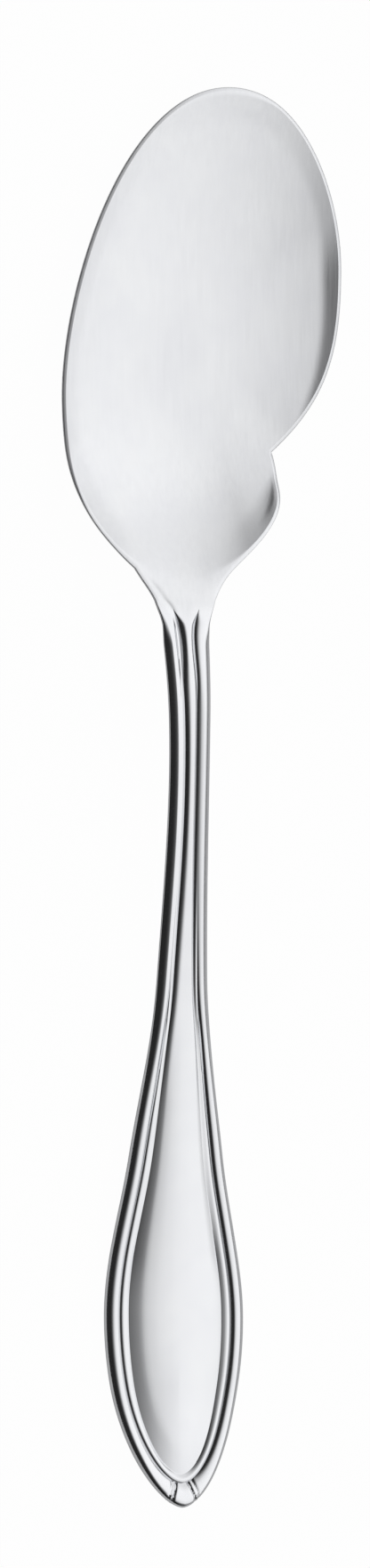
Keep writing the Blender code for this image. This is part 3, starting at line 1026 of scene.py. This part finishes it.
satin_steel, tree, shader = steel("satin_ground_stainless_steel")
belt_lines, satin_sheen = worked_lines(tree, BELT_LINE, BELT_STROKE, SATIN_LOW, SATIN_HIGH)
tree.links.new(satin_sheen.outputs[0], shader.inputs["Roughness"])
bump = {"Strength": BELT_STRENGTH, "Distance": BELT_DEPTH}
belt_marks = add_node(tree, "Bump", bump, Height=belt_lines)
tree.links.new(belt_marks.outputs["Normal"], shader.inputs["Normal"])
bowl.data.materials.append(satin_steel)
print("satin roughness:", SATIN_LOW, "to", SATIN_HIGH)

# %% [markdown]
# ## Polished steel of the handle
# The handle is buffed on a cloth wheel: nearly a mirror, so every ridge shows a crisp light and dark line,
# with a faint haze. A perfect mirror would look like chrome, so a little roughness stays. At the neck the
# "satin" value fades it into the satin of the bowl.

# %% Buffed stainless steel
BUFF_LINE, BUFF_STROKE = 1.2 * MM, 5.0 * MM  # streaks of haze that the cloth wheel leaves
POLISH_LOW, POLISH_HIGH = 0.12, 0.16

polished_steel, tree, shader = steel("buffed_stainless_steel")
_, buff_haze = worked_lines(tree, BUFF_LINE, BUFF_STROKE, POLISH_LOW, POLISH_HIGH)
_, satin_sheen = worked_lines(tree, BELT_LINE, BELT_STROKE, SATIN_LOW, SATIN_HIGH)
neck_fade = add_node(tree, "Attribute", {"attribute_name": "satin"}).outputs["Fac"]
both = add_node(tree, "Mix", {}, Factor=neck_fade, A=buff_haze, B=satin_sheen)
tree.links.new(both.outputs[0], shader.inputs["Roughness"])
handle.data.materials.append(polished_steel)
print("polished roughness:", POLISH_LOW, "to", POLISH_HIGH)

# %% [markdown]
# ## The table
# The camera sees the table as almost pure white, with a trace of the shadow. More light would give that
# white too, but it would bleach the steel. So the paint is a pale grey, and white is mixed in by the kind
# of ray. Mirrored rays get little of it, or the dark lines under the spoon's edges would fill.

# %% White table
TABLE_SIDE = 20.0  # metres, so that its edge is never in view
WHITE_TO_CAMERA, WHITE_TO_METAL = 0.98, 0.05

table_mesh = bmesh.new()
bmesh.ops.create_grid(table_mesh, x_segments=1, y_segments=1, size=TABLE_SIDE / 2)
table = finish_mesh(table_mesh, "white_table")
table_paint = bpy.data.materials.new("white_table_paint")
table_paint.use_nodes = True
tree = table_paint.node_tree
tree.nodes.clear()
rays = add_node(tree, "LightPath").outputs
larger = {"operation": "MAXIMUM"}
mirrored = add_node(tree, "Math", larger, rays["Is Glossy Ray"], rays["Is Transmission Ray"])
to_metal = add_node(tree, "MapRange", {"To Max": WHITE_TO_METAL}, mirrored)
to_camera = add_node(tree, "MapRange", {"To Max": WHITE_TO_CAMERA}, rays["Is Camera Ray"])
whiteness = add_node(tree, "Math", larger, to_metal, to_camera)
paint = add_node(tree, "BsdfDiffuse", {"Color": linear("#DCDCDC")})
white = add_node(tree, "Emission", {"Color": linear("#FFFFFF"), "Strength": 1.0})
blend = add_node(tree, "MixShader", {}, whiteness, paint, white)
add_node(tree, "OutputMaterial", {}, blend)
table.data.materials.append(table_paint)
print("white for the camera and for the steel:", WHITE_TO_CAMERA, WHITE_TO_METAL)

# %% [markdown]
# ## The light
# One long soft source runs along the spoon, above it and to its right. The room on the left is dark, and
# that draws the dark lines on every slope that faces left. The edges of area lamps would show in the
# polish. So the world is the source: a ramp over the angle from left to right gives the level.

# %% Light from left to right
LIGHT_STOPS = (  # degrees from straight above, to the right, and the level there
    (-90, 0.02), (-45, 0.02), (-36, 0.06), (-25, 0.23), (-12, 0.58), (5, 0.85), (22, 0.96), (40, 1.0),
    (72, 1.0), (80, 0.60), (86, 0.20), (90, 0.05),
)

world = bpy.data.worlds.new("long_soft_light")
bpy.context.scene.world = world
world.use_nodes = True
tree = world.node_tree
tree.nodes.clear()
direction = add_node(tree, "TexCoord")
toward = add_node(tree, "SeparateXYZ", {}, direction.outputs["Generated"]).outputs
angle = add_node(tree, "Math", {"operation": "ARCTAN2"}, toward["X"], toward["Z"])
half_turn = {"From Min": -math.pi / 2, "From Max": math.pi / 2}
left_to_right = add_node(tree, "MapRange", half_turn, angle)
ramp = add_node(tree, "ValToRGB", {}, left_to_right)
stops = ramp.color_ramp.elements
while len(stops) < len(LIGHT_STOPS):
    stops.new(0.5)  # moved to its place below
for stop, (degrees, level) in zip(stops, LIGHT_STOPS):
    stop.position = (degrees + 90) / 180
    stop.color = (level, level, level, 1.0)
print("light levels:", dict(LIGHT_STOPS))

# %% [markdown]
# ### Along the spoon
# Along the spoon the level rises slowly towards the bowl, falls beyond it, and ends beyond the point of
# the handle, which darkens the turned-up tip. The camera itself sees a white room.

# %% Light along the spoon
LIGHT_ALONG = (  # how far a direction leans along the spoon, from and to, and the two levels there
    (-0.35, 0.25, 1.05, 1.19),
    (0.56, 0.82, 1.0, 0.78),
    (-0.85, -0.60, 0.08, 1.0),
)

fades = []
for start, end, first_level, last_level in LIGHT_ALONG:
    span = {"From Min": start, "From Max": end, "To Min": first_level, "To Max": last_level}
    fades.append(add_node(tree, "MapRange", span, toward["Y"]))
slow_rise, far_end, near_end = fades
product = {"operation": "MULTIPLY"}
both_ends = add_node(tree, "Math", product, near_end, far_end)
strength = add_node(tree, "Math", product, slow_rise, both_ends)
light = add_node(tree, "Background", {}, ramp, strength)
white = add_node(tree, "Background", {"Color": linear("#FFFFFF"), "Strength": 1.0})
rays = add_node(tree, "LightPath").outputs
blend = add_node(tree, "MixShader", {}, rays["Is Camera Ray"], light, white)
add_node(tree, "OutputWorld", {}, blend)
print("fades of the light along the spoon:", len(fades))

# %% [markdown]
# ## The camera
# The photograph looks down on the spoon from a little to its left, from far away, so that the lines stay
# nearly parallel. A constraint could aim the camera, but it can't centre the picture. Three moves do both:
# to the spoon, round by the tilt and the roll, and back from there, a little aside.

# %% Camera
CAMERA_TILT = math.radians(22.0)
CAMERA_ROLL = math.radians(-0.6)
CAMERA_DISTANCE = 1.2  # metres
FRAME_HEIGHT = 206.8 * MM  # what the long side of the picture takes in, at the spoon
SHIFT_RIGHT, SHIFT_UP = 1.28 * MM, 1.55 * MM
AIM_HEIGHT = 4.0 * MM

at_spoon = Matrix.Translation((middle_x, 0.0, AIM_HEIGHT))
turned = Matrix.Rotation(-CAMERA_TILT, 4, "Y") @ Matrix.Rotation(CAMERA_ROLL, 4, "Z")
stepped_back = Matrix.Translation((SHIFT_RIGHT, SHIFT_UP, CAMERA_DISTANCE))
camera_data = bpy.data.cameras.new("camera")
camera_data.lens = camera_data.sensor_width * CAMERA_DISTANCE / FRAME_HEIGHT
camera = bpy.data.objects.new("camera", camera_data)
camera.matrix_world = at_spoon @ turned @ stepped_back
bpy.context.scene.collection.objects.link(camera)
bpy.context.scene.camera = camera
print("lens in mm:", round(camera_data.lens, 1))

# %% [markdown]
# ## Fasten the pieces to the frame
# Both pieces ride on the one body of the spoon, and each stands for its CAD node, which stays for collision.

# %% Finish
for piece, node, slot in ((bowl, "bowl", "satin_steel"), (handle, "handle", "polished_steel")):
    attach(piece, "root")
    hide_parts(node)
bpy.context.scene.view_settings.view_transform = "Standard"
